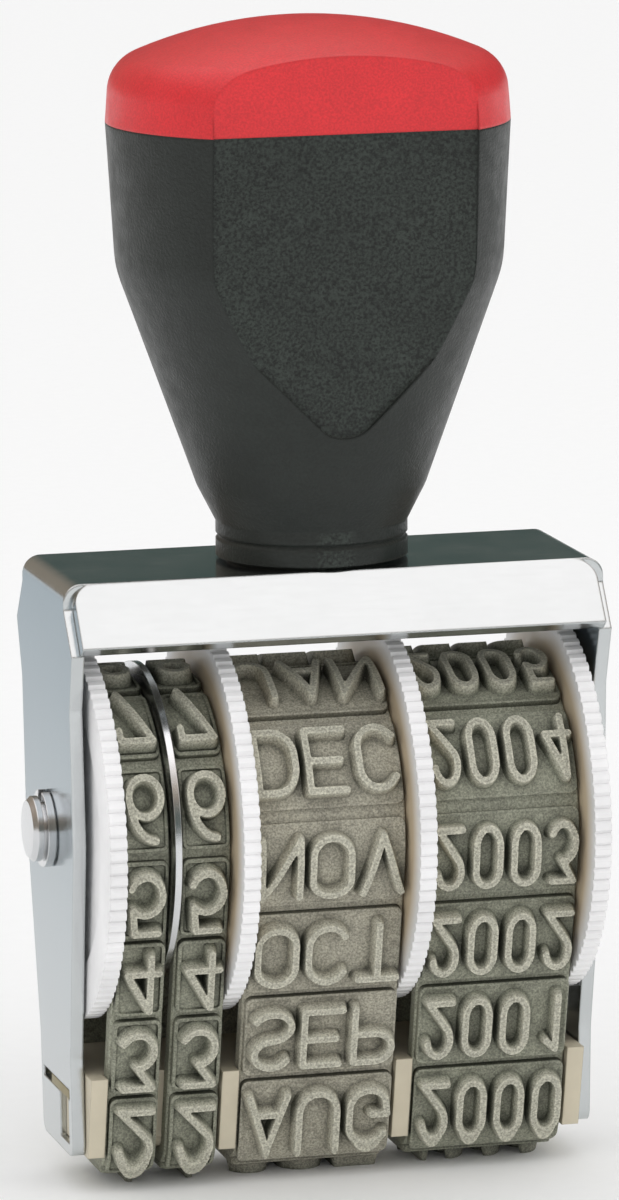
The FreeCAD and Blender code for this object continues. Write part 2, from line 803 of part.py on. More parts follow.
# Wheels, drums, bands and the thin disc between the two day bands
wheels = []
for name, width, turned in (
    ("day_tens", size("day_band_width"), False),
    ("day_units", size("day_band_width"), True),
    ("month", size("word_band_width"), True),
    ("year", size("word_band_width"), True),
):
    wheels.append(make_wheel(name, turned))
    wheels.append(make_drum(name, width, turned))
day_width = size("day_band_width")
word_width = size("word_band_width")
day_digit = size("day_digit_width")
bands = [
    make_band("day_tens", day_width, DAY_ROWS, 1, day_digit, ZERO),
    make_band("day_units", day_width, DAY_ROWS, 1, day_digit, ZERO),
    make_band("month", word_width, MONTH_ROWS, 3, size("month_letter_width"), size("month_letter_gap")),
    make_band("year", word_width, YEAR_ROWS, 4, size("year_digit_width"), size("year_digit_gap")),
]
divider = new_body("day_divider")
place(divider, x=left_x["divider", "day"], z=axle_z)
divider_ring = new_sketch(divider, "divider_ring", "YZ_Plane")
circle(divider_ring, (ZERO, ZERO), size("divider_radius"))
circle(divider_ring, (ZERO, ZERO), size("axle_radius"))
pad(divider, divider_ring, size("divider_thickness"))

# Platen: a block inside the bands, with separators between them and a split tongue at each end
platen = new_body("platen")
block = new_sketch(platen, "platen_block", "YZ_Plane")
band_loop(block, -size("platen_gap"))
pad(platen, block, stack_length, both=True)
for name in ("day_tens", "day_units", "month", "year"):
    fin = new_sketch(platen, "separator_" + name, "YZ_Plane", offset=left_x["wheel", name])
    band_loop(fin, pad_offset)
    pad(platen, fin, size("wheel_width"))
lid = new_sketch(platen, "platen_top", "YZ_Plane")
lid_half = size("wheel_radius") + OVER
rectangle(lid, (-lid_half, platen_z + size("platen_height")), (lid_half, top_z))
pocket(platen, lid, both=True)
sole = new_sketch(platen, "platen_sole", "YZ_Plane")
rectangle(sole, (-lid_half, ZERO), (lid_half, platen_z + size("platen_gap")))
pocket(platen, sole, both=True)
channel = new_sketch(platen, "platen_channel", "YZ_Plane")
bar_front = size("slot_bar_half") - size("bar_gap") * 2
rectangle(channel, (-bar_front - size("bar_gap"), slot_low), (size("bar_back") + size("bar_gap"), slot_high))
pocket(platen, channel, both=True)
tongue = new_sketch(platen, "platen_tongue", "YZ_Plane")
tongue_gap = size("platen_gap")
tongue_front = tongue_gap - size("slot_stem_front")
tongue_back = -size("slot_stem_back") - tongue_gap
tongue_low = foot_z + size("slot_stem_low") + tongue_gap
tongue_high = slot_low - tongue_gap
slit_front = (tongue_front + tongue_back) / 2 - size("tongue_slit_half")
slit_back = (tongue_front + tongue_back) / 2 + size("tongue_slit_half")
slit_low = tongue_low + size("tongue_slit_foot")
outline(tongue, [
    (tongue_front, tongue_low),
    (tongue_back, tongue_low),
    (tongue_back, tongue_high),
    (slit_back, tongue_high),
    (slit_back, slit_low),
    (slit_front, slit_low),
    (slit_front, tongue_high),
    (tongue_front, tongue_high),
])
pad(platen, tongue, stack_length + size("tongue_reach") * 2, both=True)

# Bar in the cross of the T-slots
bar = new_body("platen_bar")
bar_section = new_sketch(bar, "bar_section", "YZ_Plane")
rectangle(bar_section, (-bar_front, slot_low + size("bar_gap")), (size("bar_back"), slot_high - size("bar_gap")))
pad(bar, bar_section, outer_half(slot_high) * 2, both=True)

# Grip: a turned body with a collar, a throat and a flared wall, cut flat at the front and the back
groove = size("collar_groove")
grip = new_body("handle_grip")
grip_profile = new_sketch(grip, "grip_profile", "XZ_Plane")
outline(grip_profile, [
    (ZERO, top_z),
    (size("boss_radius"), top_z),
    (size("boss_radius"), boss_z),
    (size("collar_radius"), boss_z),
    (size("collar_radius"), collar_z - groove),
    (size("collar_radius") - groove, collar_z),
    (size("collar_radius"), collar_z + groove),
    (size("collar_radius"), neck_z),
    (throat_radius, throat_z),
    (shoulder_radius, shoulder_z),
    (grip_radius, grip_z),
    (ZERO, grip_z),
])
revolve(grip, grip_profile, "V_Axis")
round_edges(grip, size("throat_rounding"), lambda edge: ring_at(edge, throat_z, throat_radius))
round_edges(grip, size("shoulder_rounding"), lambda edge: ring_at(edge, shoulder_z, shoulder_radius))
panel_z = top_z + size("panel_tip_height")
panel_tilt = slope_angle(size("panel_growth"), grip_z - panel_z)


def cut_panels(body):
    """Cuts the flat front panel, which narrows to a tongue, and its twin at the back."""
    sketch = new_sketch(body, body.Name + "_panel", "XZ_Plane",
                        offset=size("panel_tip_depth"), rise=panel_z, tilt=panel_tilt)
    high = grip_z - panel_z + size("cap_wall_height") + size("cap_crown") + OVER
    outline(sketch, [
        (size("panel_half_width"), high),
        (-size("panel_half_width"), high),
        (-size("panel_half_width"), size("panel_bend_height"), size("panel_side_radius")),
        (-size("panel_knee_half_width"), size("panel_knee_height")),
        (-size("panel_nose_half_width"), size("panel_nose_height"), size("panel_nose_radius")),
        (size("panel_nose_half_width"), size("panel_nose_height")),
        (size("panel_knee_half_width"), size("panel_knee_height"), size("panel_side_radius")),
        (size("panel_half_width"), size("panel_bend_height")),
    ])
    cut = pocket(body, sketch, back=True)
    mirror(body, [cut], "XZ_Plane")


cut_panels(grip)
socket = new_sketch(grip, "grip_socket", "XY_Plane", offset=grip_z)
circle(socket, (ZERO, ZERO), size("spigot_cap_radius") + size("spigot_cap_gap"))
pocket(grip, socket, size("spigot_cap_length") + size("spigot_cap_gap"))
grip_hole = new_sketch(grip, "grip_screw_hole", "XY_Plane", offset=top_z)
circle(grip_hole, (ZERO, ZERO), size("screw_radius"))
pocket(grip, grip_hole, size("screw_depth") + size("spigot_cap_gap"), back=True)

# Cap: a low crown over a short wall, with a spigot in the grip's socket
cap = new_body("handle_cap")
cap_profile = new_sketch(cap, "cap_profile", "XZ_Plane")
outline(cap_profile, [
    (ZERO, grip_z - size("spigot_cap_length")),
    (size("spigot_cap_radius"), grip_z - size("spigot_cap_length")),
    (size("spigot_cap_radius"), grip_z),
    (grip_radius, grip_z),
    (grip_radius - wall_down * touch_run, grip_z + wall_in * touch_run, rounding),
    (centre_x * crown_radius / deep, crown_centre_z + centre_z * crown_radius / deep, crown_radius),
    (ZERO, cap_wall_z + crown),
])
revolve(cap, cap_profile, "V_Axis")
cut_panels(cap)

# Screw and lock washer under the top plate
washer = new_body("screw_washer")
washer_ring = new_sketch(washer, "washer_ring", "XY_Plane", offset=under_z - size("washer_thickness"))
circle(washer_ring, (ZERO, ZERO), size("washer_radius"))
circle(washer_ring, (ZERO, ZERO), size("screw_radius") + size("screw_hole_gap"))
pad(washer, washer_ring, size("washer_thickness"))
screw = new_body("handle_screw")
head_z = under_z - size("washer_thickness")
screw_profile = new_sketch(screw, "screw_profile", "XZ_Plane")
outline(screw_profile, [
    (ZERO, head_z - size("screw_head_height")),
    (size("screw_head_radius"), head_z - size("screw_head_height")),
    (size("screw_head_radius"), head_z),
    (size("screw_radius"), head_z),
    (size("screw_radius"), top_z + size("screw_depth")),
    (ZERO, top_z + size("screw_depth")),
])
revolve(screw, screw_profile, "V_Axis")
driver = new_sketch(screw, "screw_slot", "XY_Plane", offset=head_z - size("screw_head_height"))
slot_half = size("screw_slot_half_width")
rectangle(driver, (-size("washer_radius"), -slot_half), (size("washer_radius"), slot_half))
pocket(screw, driver, size("screw_slot_depth"), back=True)

# Checks, then one file for each piece
doc.recompute()
pieces = [frame, axle, clips] + wheels + bands
pieces += [divider, platen, bar, grip, cap, washer, screw]
for item in doc.Objects:
    if "Invalid" in item.State or "Error" in item.State:
        raise ValueError(item.Name + " failed")
for piece in pieces:
    if piece.Shape.isNull() or not piece.Shape.isValid():
        raise ValueError(piece.Label + " has no valid shape")
os.makedirs("parts", exist_ok=True)
for piece in pieces:
    piece.Shape.exportStep("parts/%s.step" % piece.Label)
    box = piece.Shape.BoundBox
    print("%-24s %2d solids %9.2f mm3  x %.2f %.2f  y %.2f %.2f  z %.2f %.2f" % (
        piece.Label, len(piece.Shape.Solids), piece.Shape.Volume,
        box.XMin, box.XMax, box.YMin, box.YMax, box.ZMin, box.ZMax))
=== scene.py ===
import math
from typing import NamedTuple
import bmesh
import bpy
import numpy as np
from mathutils import Matrix, Vector
from bpy.props import FloatProperty, FloatVectorProperty, IntProperty, PointerProperty


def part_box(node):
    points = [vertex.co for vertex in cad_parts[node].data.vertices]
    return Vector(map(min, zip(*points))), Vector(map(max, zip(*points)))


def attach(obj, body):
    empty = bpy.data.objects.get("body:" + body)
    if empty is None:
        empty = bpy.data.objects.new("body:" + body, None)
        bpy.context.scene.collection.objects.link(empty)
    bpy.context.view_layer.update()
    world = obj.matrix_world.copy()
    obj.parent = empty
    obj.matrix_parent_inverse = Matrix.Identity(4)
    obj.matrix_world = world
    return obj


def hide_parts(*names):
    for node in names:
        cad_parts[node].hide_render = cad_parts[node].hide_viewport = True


bl_info = {
    "name": "Hand date stamp",
    "version": (1, 0, 0),
    "blender": (4, 5, 0),
    "location": "View3D > Sidebar > Date Stamp",
    "description": "Dresses a hand date stamp with type bands, finishes and a small studio",
    "category": "Object",
}

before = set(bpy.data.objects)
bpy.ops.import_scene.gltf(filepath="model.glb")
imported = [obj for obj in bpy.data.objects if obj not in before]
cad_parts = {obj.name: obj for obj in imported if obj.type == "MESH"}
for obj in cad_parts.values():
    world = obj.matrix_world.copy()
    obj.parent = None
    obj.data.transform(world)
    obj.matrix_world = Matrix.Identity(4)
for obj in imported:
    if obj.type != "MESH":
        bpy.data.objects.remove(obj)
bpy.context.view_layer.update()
ROOT = "stamp_frame"
MM = 0.001

# Path of a band in metres: round its drum and over the platen
BASE = 1.2 * MM
PAD = 1.8 * MM
RELIEF = 0.95 * MM
DRUM = 9.5 * MM
FLAT = 2.8 * MM
CORNER = 1.0 * MM
TYPE_LENGTH = 5.0 * MM
AXLE_OVER_PLATEN = 24.65 * MM
PITCH_LINE = BASE / 2
PLATEN_Z = PAD + RELIEF
AXLE_Z = PLATEN_Z + AXLE_OVER_PLATEN
CORNER_Z = PLATEN_Z + CORNER
RISE = AXLE_Z - CORNER_Z
REACH = math.hypot(FLAT, RISE)
TILT = math.asin((DRUM - CORNER) / REACH) - math.atan2(FLAT, RISE)
STRAIGHT = math.sqrt(REACH ** 2 - (DRUM - CORNER) ** 2)
CORNER_RUN = (CORNER + PITCH_LINE) * (math.pi / 2 - TILT)
DRUM_RUN = (DRUM + PITCH_LINE) * (math.pi / 2 + TILT)
ON_DRUM = FLAT + CORNER_RUN + STRAIGHT
HALF = ON_DRUM + DRUM_RUN

# Edges of the strip and the pads, and how deep pads and type start in what they stand on
STRIP_EDGE = 0.12 * MM
PAD_MARGIN = 0.3 * MM
PAD_CORNER = 0.55 * MM
PAD_EDGE = 0.07 * MM
PAD_SINK = 0.05 * MM
LEAST_LOOP = 0.02 * MM
TYPE_SINK = 0.22 * MM

# Points along the stretches of a strip, and across, along and round the corners of a pad
FLAT_POINTS = 3
CORNER_POINTS = 9
STRAIGHT_POINTS = 4
DRUM_POINTS = 48
PAD_COLUMNS = 4
PAD_ROWS = 10
PAD_TURNS = 4

# How proud a point stands, which the rubber's colour follows: a character's face is 1 at its edges
STRIP_PROUD = -1.0
SIDE_PROUD = 0.1
RIM_PROUD = 0.3
CREST = 0.5

# Distances in metres that stand for far away and for nothing, and the sharpest smooth edge in degrees
FAR = 1.0
NOTHING = 1e-12
SMOOTH_ANGLE = 42.0

# Words on the rows, from the row that prints
DAYS = ["1", "2", "3", "4", "5", "6", "7", "8", "9", "0", "", "", "", ""]
MONTHS = ["JUL", "AUG", "SEP", "OCT", "NOV", "DEC", "JAN", "FEB", "MAR", "APR", "MAY", "JUN", ""]
YEAR_COUNT = 12
WHEELS = ("day_tens", "day_units", "month", "year")

# Fineness of the patterns in the materials, in waves to the metre
PLASTIC_DRIFT = 160.0
PLASTIC_SMEAR = 700.0
PLASTIC_RIPPLE = 900.0
METAL_CLOUD = 220.0
METAL_LINES = 2500.0
RUBBER_CLOUD = 350.0
RUBBER_SPECKS = 2600.0
RUBBER_GRIT = 6500.0
PAPER_GRAIN = 600.0

# Where the painted shade on the wheels' sides turns to white, where the painted shade on the side plates
# begins and is full, and how far a hollow of the rubber looks for its walls, for its painted shade
PAINTED_SIDE_SHADE_FADE = (12.3 * MM, 14.1 * MM)
PAINTED_PLATE_SHADE_HEIGHT = (4.0 * MM, 46.0 * MM)
HOLLOW_REACH = 1.1 * MM

# How deep the bumps in the materials go
GRAIN_DEPTH = 0.06 * MM
RIPPLE_DEPTH = 0.1 * MM
LINE_DEPTH = 0.02 * MM
SPECK_DEPTH = 0.08 * MM
GRIT_DEPTH = 0.05 * MM

# Factors on the materials' tones and roughness; where there are two, the low and the high one
PLASTIC_GLOSS = (0.82, 1.2)
COARSE_GRAIN = (0.6, 2.5)
METAL_GLOSS = (0.85, 1.2)
RUBBER_TONE = (0.78, 1.15)
SPECK_TONE = 1.7
EDGE_TONE = 1.25
GRIT_TONE = (0.68, 1.36)
RAISED_TONE = 1.06
STRIP_TONE = 1.2
PAPER_TONE = 0.985

# The dark tone of the ink and the painted shade in the rubber's hollows, and the rubber's lowest and highest
# roughness
INK_AND_PAINTED_SHADE = (0.15, 0.16, 0.14)
RUBBER_GLOSS = (0.5, 0.8)

# How squarely a surface has to look along an axis to count as a flank, a panel or a side plate
FLANK_FACING = (0.6, 0.9)
PANEL_FACING = (0.975, 0.99)
PLATE_FACING = (0.9, 0.99)

# The camera in metres and degrees, its sensor in millimetres, and the two lamps
EYE = Vector((-0.14143, -0.54329, 0.14212))
YAW = 14.571
PITCH = 9.933
ROLL = -0.518
SENSOR = 24.0
NEAR_CLIP = 0.01
FAR_CLIP = 50.0
LAMP_SIZE = 0.4
KEY_PLACE = Vector((0.5, -0.5, 0.38))
KEY_AIM = Vector((0.0, 0.0, 0.045))
KEY_TINT = (1.0, 0.99, 0.97)
FILL_PLACE = Vector((-0.42, -0.4, 0.55))
FILL_AIM = Vector((0.0, 0.0, 0.06))
FILL_TINT = (0.96, 0.98, 1.0)
FLOOR_REACH = 6.0

# What shines back from the surround: two low walls, a warm strip over them and the sky
LOW_RIGHT = (0.068, 0.098, 0.09)
LOW_LEFT = (0.30, 0.26, 0.21)
WARM_STRIP = (0.42, 0.34, 0.27)
SKY = (1.62, 1.56, 1.55)


# Settings that a user would change
class StampTypeSettings(bpy.types.PropertyGroup):
    """Sizes of the rubber type"""

    first_year: IntProperty(
        name="First year", description="Year on the row that prints", default=1999, min=1000, max=9987)
    stroke: FloatProperty(
        name="Stroke", description="Width of the strokes at the face of the type",
        default=0.5 * MM, min=0.3 * MM, max=1.0 * MM, unit="LENGTH", precision=5)
    flank: FloatProperty(
        name="Flank", description="How far the flanks of a stroke spread towards the pad",
        default=0.28 * MM, min=0.1 * MM, max=0.5 * MM, unit="LENGTH", precision=5)
    grid: FloatProperty(
        name="Grid", description="Spacing of the points on the type",
        default=0.1 * MM, min=0.05 * MM, max=0.3 * MM, unit="LENGTH", precision=5)
    rim: FloatProperty(
        name="Rim", description="Width of the raised rim round a day pad",
        default=0.28 * MM, min=0.1 * MM, max=0.6 * MM, unit="LENGTH", precision=5)
    rim_height: FloatProperty(
        name="Rim height", description="Height of the rim over the pad's floor",
        default=0.16 * MM, min=0.0, max=0.4 * MM, unit="LENGTH", precision=5)


def colour(name, text, value):
    return FloatVectorProperty(
        name=name, description=text, subtype="COLOR", size=3, min=0.0, max=1.0, default=value)


class StampColourSettings(bpy.types.PropertyGroup):
    """Colours of the finishes"""

    rubber: colour("Rubber", "Pads and sides of the bands", (0.235, 0.24, 0.187))
    # The month band's rubber is paler than that of the other bands
    rubber_lightened: colour("Dusty rubber", "The month band, paler with dust", (0.325, 0.31, 0.25))
    rubber_face: colour("Type face", "Faces of the type, paler with wear", (0.40, 0.39, 0.32))
    wheel: colour("Thumbwheels", "White rims", (0.89, 0.885, 0.89))
    # Painted shade: the wheels' flat sides near the drum darken to this cream-brown, where shade falls
    # between wheel and band
    wheel_painted_side_shade: colour(
        "Wheel sides", "Flat sides of the thumbwheels near the drum, yellowed", (0.66, 0.54, 0.38))
    cream: colour("Platen and drums", "Cream plastic", (0.62, 0.56, 0.43))
    nickel: colour("Sheet", "Nickel plate", (0.60, 0.625, 0.63))
    # Painted shade: the side plates darken to this tone towards the top
    nickel_painted_shade: colour("Sheet shade", "Tone that the side plates take on to the top", (0.68, 0.73, 0.765))
    steel: colour("Turned steel", "Axle, clips, disc, screw and washer", (0.72, 0.73, 0.74))
    bar: colour("Bar", "Dull brass of the platen's bar", (0.30, 0.25, 0.12))
    grip: colour("Grip", "Black plastic", (0.0125, 0.016, 0.0135))
    cap: colour("Cap", "Red plastic", (0.62, 0.018, 0.024))


class StampStageSettings(bpy.types.PropertyGroup):
    """Light, floor and camera"""

    key: FloatProperty(
        name="Key light", description="Power of the soft light at the right",
        default=0.45, min=0.0, max=10.0, unit="POWER")
    fill: FloatProperty(
        name="Fill light", description="Power of the soft light at the upper left",
        default=0.25, min=0.0, max=10.0, unit="POWER")
    surround: FloatProperty(
        name="Surround", description="Strength of the even light all round", default=0.96, min=0.0, max=3.0)
    floor: FloatProperty(
        name="Floor", description="How pale the floor is", default=0.97, min=0.0, max=1.0, subtype="FACTOR")
    lens: FloatProperty(
        name="Lens", description="Focal length for a sensor 24 mm high", default=149.9, min=20.0, max=400.0,
        unit="CAMERA")


# Shader helpers
def link(tree, start, end):
    tree.links.new(start, end)


def feed(tree, value, socket):
    """Link another node's output to a socket, or set the socket to a number or a colour."""
    if isinstance(value, bpy.types.NodeSocket):
        link(tree, value, socket)
    elif isinstance(value, float):
        socket.default_value = value
    else:
        socket.default_value = (*value, 1.0)


def node(tree, kind, **values):
    made = tree.nodes.new(kind)
    for key, value in values.items():
        if hasattr(made, key):
            setattr(made, key, value)
        else:
            made.inputs[key.replace("_", " ")].default_value = value
    return made


def noise(tree, place, scale, detail=4.0, roughness=0.6):
    made = node(tree, "ShaderNodeTexNoise", Scale=scale, Detail=detail, Roughness=roughness)
    link(tree, place, made.inputs["Vector"])
    return made.outputs["Fac"]


def spread(tree, factor, low, high, first=0.3, last=0.7):
    """Runs from low to high while the factor runs from first to last."""
    made = node(tree, "ShaderNodeMapRange", From_Min=first, From_Max=last, To_Min=low, To_Max=high)
    link(tree, factor, made.inputs["Value"])
    return made.outputs["Result"]


def share(tree, factor, first=0.3, last=0.7):
    """0 while the factor is below first, 1 from last on."""
    return spread(tree, factor, 0.0, 1.0, first, last)


def mixed(tree, factor, first, second, blend="MIX"):
    made = node(tree, "ShaderNodeMix", data_type="RGBA", blend_type=blend)
    feed(tree, factor, made.inputs[0])
    feed(tree, first, made.inputs[6])
    feed(tree, second, made.inputs[7])
    return made.outputs[2]


def times(tree, first, second):
    return mixed(tree, 1.0, first, second, "MULTIPLY")


def maths(tree, operation, *values):
    made = node(tree, "ShaderNodeMath", operation=operation)
    for value, socket in zip(values, made.inputs):
        feed(tree, value, socket)
    return made.outputs[0]


def parts_of(tree, vector):
    made = tree.nodes.new("ShaderNodeSeparateXYZ")
    link(tree, vector, made.inputs[0])
    return made.outputs


def grey(value):
    return (value, value, value)


def toned(value, factor):
    return tuple(min(1.0, part * factor) for part in value)


def bumped(tree, height, strength, distance, normal):
    made = node(tree, "ShaderNodeBump", Strength=strength, Distance=distance)
    link(tree, height, made.inputs["Height"])
    link(tree, normal, made.inputs["Normal"])
    return made.outputs["Normal"]


def softened(tree, radius):
    """Edges that catch the light as if they were rounded."""
    return node(tree, "ShaderNodeBevel", samples=6, Radius=radius).outputs["Normal"]


def new_material(name, **values):
    """A material, its tree, its main shader with these values, and the place on the object."""
    made = bpy.data.materials.new(name)
    made.use_nodes = True
    tree = made.node_tree
    shader = tree.nodes["Principled BSDF"]
    for key, value in values.items():
        shader.inputs[key.replace("_", " ")].default_value = value
    place = tree.nodes.new("ShaderNodeTexCoord").outputs["Object"]
    return made, tree, shader, place


def facing(tree, axis, first, last):
    """How squarely the surface looks along an axis: 0 below the first value, 1 above the last."""
    way = parts_of(tree, tree.nodes.new("ShaderNodeTexCoord").outputs["Normal"])
    return share(tree, maths(tree, "ABSOLUTE", way[axis]), first, last)


def from_axle(tree, place, first, last):
    """0 within the first radius from the axle, 1 beyond the last."""
    flat = node(tree, "ShaderNodeVectorMath", operation="MULTIPLY_ADD")
    link(tree, place, flat.inputs[0])
    flat.inputs[1].default_value = (0.0, 1.0, 1.0)
    flat.inputs[2].default_value = (0.0, 0.0, -AXLE_Z)
    length = node(tree, "ShaderNodeVectorMath", operation="LENGTH")
    link(tree, flat.outputs[0], length.inputs[0])
    return share(tree, length.outputs["Value"], first, last)


# Materials
def plastic(name, value, rough, radius, wear=0.08, grain=0.0, grain_scale=6000.0, side=None, panel=False,
            gloss=0.5):
    """Moulded plastic: faint colour drift, uneven gloss, soft edges and a grain.

    A side colour is painted shade on the flanks of a wheel, deepest near its drum. With panel, the grain is
    coarse on the flat panels and faint elsewhere.
    """
    made, tree, shader, place = new_material(name, Specular_IOR_Level=gloss)
    drift = noise(tree, place, PLASTIC_DRIFT)
    base = mixed(tree, share(tree, drift), toned(value, 1.0 - wear), toned(value, 1.0 + wear))
    if side is not None:
        flank = mixed(tree, from_axle(tree, place, *PAINTED_SIDE_SHADE_FADE), side, base)
        base = mixed(tree, facing(tree, "X", *FLANK_FACING), base, flank)
    normal = softened(tree, radius)
    if grain:
        fine = noise(tree, place, grain_scale, detail=2.0)
        crumbs = share(tree, fine, first=0.36, last=0.64)
        specks = mixed(tree, crumbs, grey(1.0 - grain), grey(1.0 + 1.6 * grain))
        if panel:
            faint = mixed(tree, 0.2, grey(1.0), specks)
            coarse = mixed(tree, crumbs, grey(COARSE_GRAIN[0]), grey(COARSE_GRAIN[1]))
            specks = mixed(tree, facing(tree, "Y", *PANEL_FACING), faint, coarse)
        base = times(tree, base, specks)
        normal = bumped(tree, fine, min(1.0, 1.5 * grain), GRAIN_DEPTH, normal)
    link(tree, base, shader.inputs["Base Color"])
    smear = noise(tree, place, PLASTIC_SMEAR, detail=6.0)
    uneven = spread(tree, smear, low=rough * PLASTIC_GLOSS[0], high=rough * PLASTIC_GLOSS[1])
    link(tree, uneven, shader.inputs["Roughness"])
    ripple = noise(tree, place, PLASTIC_RIPPLE, detail=3.0)
    normal = bumped(tree, ripple, strength=0.06, distance=RIPPLE_DEPTH, normal=normal)
    link(tree, normal, shader.inputs["Normal"])
    return made


def metal(name, value, rough, radius, stretch=(1.0, 1.0, 1.0), marks=0.12, tarnish=0.1, shade=None):
    """Plated or turned metal: fine lines along one way, cloudy gloss and small scratches.

    With a painted shade, the side plates darken towards the top, in their colour and in the tint of their
    reflections.
    """
    made, tree, shader, place = new_material(name, Metallic=1.0)
    lines = node(tree, "ShaderNodeMapping", Scale=stretch)
    link(tree, place, lines.inputs["Vector"])
    fine = noise(tree, lines.outputs["Vector"], METAL_LINES, detail=5.0, roughness=0.7)
    cloud = noise(tree, place, METAL_CLOUD, detail=5.0)
    base = mixed(tree, share(tree, cloud), toned(value, 1.0 - tarnish), toned(value, 1.0 + tarnish / 2))
    # Painted shade: the side plates darken towards the top, and the tint of their reflections with them
    if shade is not None:
        height = parts_of(tree, place)["Z"]
        tone = mixed(tree, share(tree, height, *PAINTED_PLATE_SHADE_HEIGHT), grey(1.0), shade)
        tone = mixed(tree, facing(tree, "X", *PLATE_FACING), grey(1.0), tone)
        base = times(tree, base, tone)
        link(tree, tone, shader.inputs["Specular Tint"])
    link(tree, base, shader.inputs["Base Color"])
    uneven = spread(tree, cloud, low=rough * METAL_GLOSS[0], high=rough * METAL_GLOSS[1])
    scored = spread(tree, fine, low=-0.03, high=0.05)
    link(tree, maths(tree, "ADD", uneven, scored), shader.inputs["Roughness"])
    link(tree, bumped(tree, fine, marks, LINE_DEPTH, softened(tree, radius)), shader.inputs["Normal"])
    return made


def rubber(name, value, face):
    """Moulded rubber: paler, worn type faces with light edges, ink and painted shade in the hollows and a
    coarse skin.
    """
    made, tree, shader, place = new_material(name, Specular_IOR_Level=0.35)
    proud = node(tree, "ShaderNodeAttribute", attribute_name="proud").outputs["Fac"]
    cloud = noise(tree, place, RUBBER_CLOUD, detail=5.0, roughness=0.65)
    speck = noise(tree, place, RUBBER_SPECKS, detail=6.0, roughness=0.75)
    grit = noise(tree, place, RUBBER_GRIT, detail=2.0)
    dark = mixed(tree, share(tree, cloud), toned(value, RUBBER_TONE[0]), toned(value, RUBBER_TONE[1]))
    lightened = spread(tree, speck, low=0.0, high=0.5, first=0.45, last=0.75)
    dark = mixed(tree, lightened, dark, toned(value, SPECK_TONE))
    raised = share(tree, proud, first=0.35, last=0.98)
    worn = maths(tree, "MULTIPLY", raised, spread(tree, speck, low=0.75, high=1.0))
    middle = share(tree, proud, first=1.1, last=1.4)
    base = mixed(tree, worn, dark, mixed(tree, middle, toned(face, EDGE_TONE), face))
    rough = share(tree, grit, first=0.35, last=0.65)
    base = times(tree, base, mixed(tree, rough, grey(GRIT_TONE[0]), grey(GRIT_TONE[1])))
    # Painted shade: ambient occlusion darkens the hollows round the type towards a dark tone, for ink and
    # for the shade that falls there
    hollow = node(tree, "ShaderNodeAmbientOcclusion", samples=6, Distance=HOLLOW_REACH).outputs["AO"]
    inked_and_shaded = mixed(tree, share(tree, hollow, first=0.3, last=0.8), INK_AND_PAINTED_SHADE, grey(RAISED_TONE))
    strip = spread(tree, proud, low=1.0, high=0.0, first=STRIP_PROUD, last=STRIP_PROUD / 2)
    base = times(tree, base, mixed(tree, strip, inked_and_shaded, grey(STRIP_TONE)))
    link(tree, base, shader.inputs["Base Color"])
    link(tree, spread(tree, cloud, *RUBBER_GLOSS), shader.inputs["Roughness"])
    normal = bumped(tree, speck, strength=0.5, distance=SPECK_DEPTH, normal=softened(tree, 0.08 * MM))
    normal = bumped(tree, grit, strength=0.5, distance=GRIT_DEPTH, normal=normal)
    link(tree, normal, shader.inputs["Normal"])
    return made


def paper(tone):
    """Pale paper for the floor, with a faint grain."""
    made, tree, shader, place = new_material("floor_paper", Roughness=0.9, Specular_IOR_Level=0.2)
    grain = noise(tree, place, PAPER_GRAIN, detail=3.0)
    base = mixed(tree, share(tree, grain), grey(tone), grey(tone * PAPER_TONE))
    link(tree, base, shader.inputs["Base Color"])
    return made


def paint(names, material):
    for name in names:
        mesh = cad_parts[name].data
        mesh.materials.clear()
        mesh.materials.append(material)


# Band geometry
def bend(run, offset):
    """Y and Z of points at a run from the middle of the platen, this far out from the inner face."""
    run = np.mod(run, 2 * HALF)
    side = np.where(run > HALF, 1.0, -1.0)
    run = np.where(run > HALF, 2 * HALF - run, run)
    turn = np.clip((run - FLAT) / (CORNER + PITCH_LINE), 0.0, math.pi / 2 - TILT)
    along = np.clip(run - FLAT - CORNER_RUN, 0.0, STRAIGHT)
    climb = (run - ON_DRUM) / (DRUM + PITCH_LINE) - TILT
    across = np.minimum(run, FLAT) + (CORNER + offset) * np.sin(turn) + along * math.sin(TILT)
    up = CORNER_Z - (CORNER + offset) * np.cos(turn) + along * math.cos(TILT)
    on_drum = run > ON_DRUM
    across = np.where(on_drum, (DRUM + offset) * np.cos(climb), across)
    up = np.where(on_drum, AXLE_Z + (DRUM + offset) * np.sin(climb), up)
    return side * across, up


def row_scale(station, offset):
    """Rows keep their own length where the band opens up on the drum."""
    folded = min(station % (2 * HALF), -station % (2 * HALF))
    return 1.0 if folded <= ON_DRUM else (DRUM + PITCH_LINE) / (DRUM + offset)


class Builder:
    """Collects the points and faces of one mesh."""

    def __init__(self):
        self.points = []
        self.faces = []
        self.proud = []
        self.count = 0

    def bent(self, x, run, offset, proud, faces):
        across, up = bend(run, offset)
        self.points.append(np.stack([x, across, up], axis=1))
        self.proud.append(proud)
        self.faces.extend([[index + self.count for index in face] for face in faces])
        self.count += len(x)

    def finish(self, name, material):
        mesh = bpy.data.meshes.new(name)
        mesh.from_pydata(np.concatenate(self.points).tolist(), [], self.faces)
        attribute = mesh.attributes.new("proud", "FLOAT", "POINT")
        attribute.data.foreach_set("value", np.concatenate(self.proud))
        mesh.materials.append(material)
        mesh.update()
        shaped = bmesh.new()
        shaped.from_mesh(mesh)
        bmesh.ops.recalc_face_normals(shaped, faces=shaped.faces)
        shaped.to_mesh(mesh)
        shaped.free()
        mesh.shade_smooth()
        mesh.set_sharp_from_angle(angle=math.radians(SMOOTH_ANGLE))
        made = bpy.data.objects.new(name, mesh)
        bpy.context.scene.collection.objects.link(made)
        return made


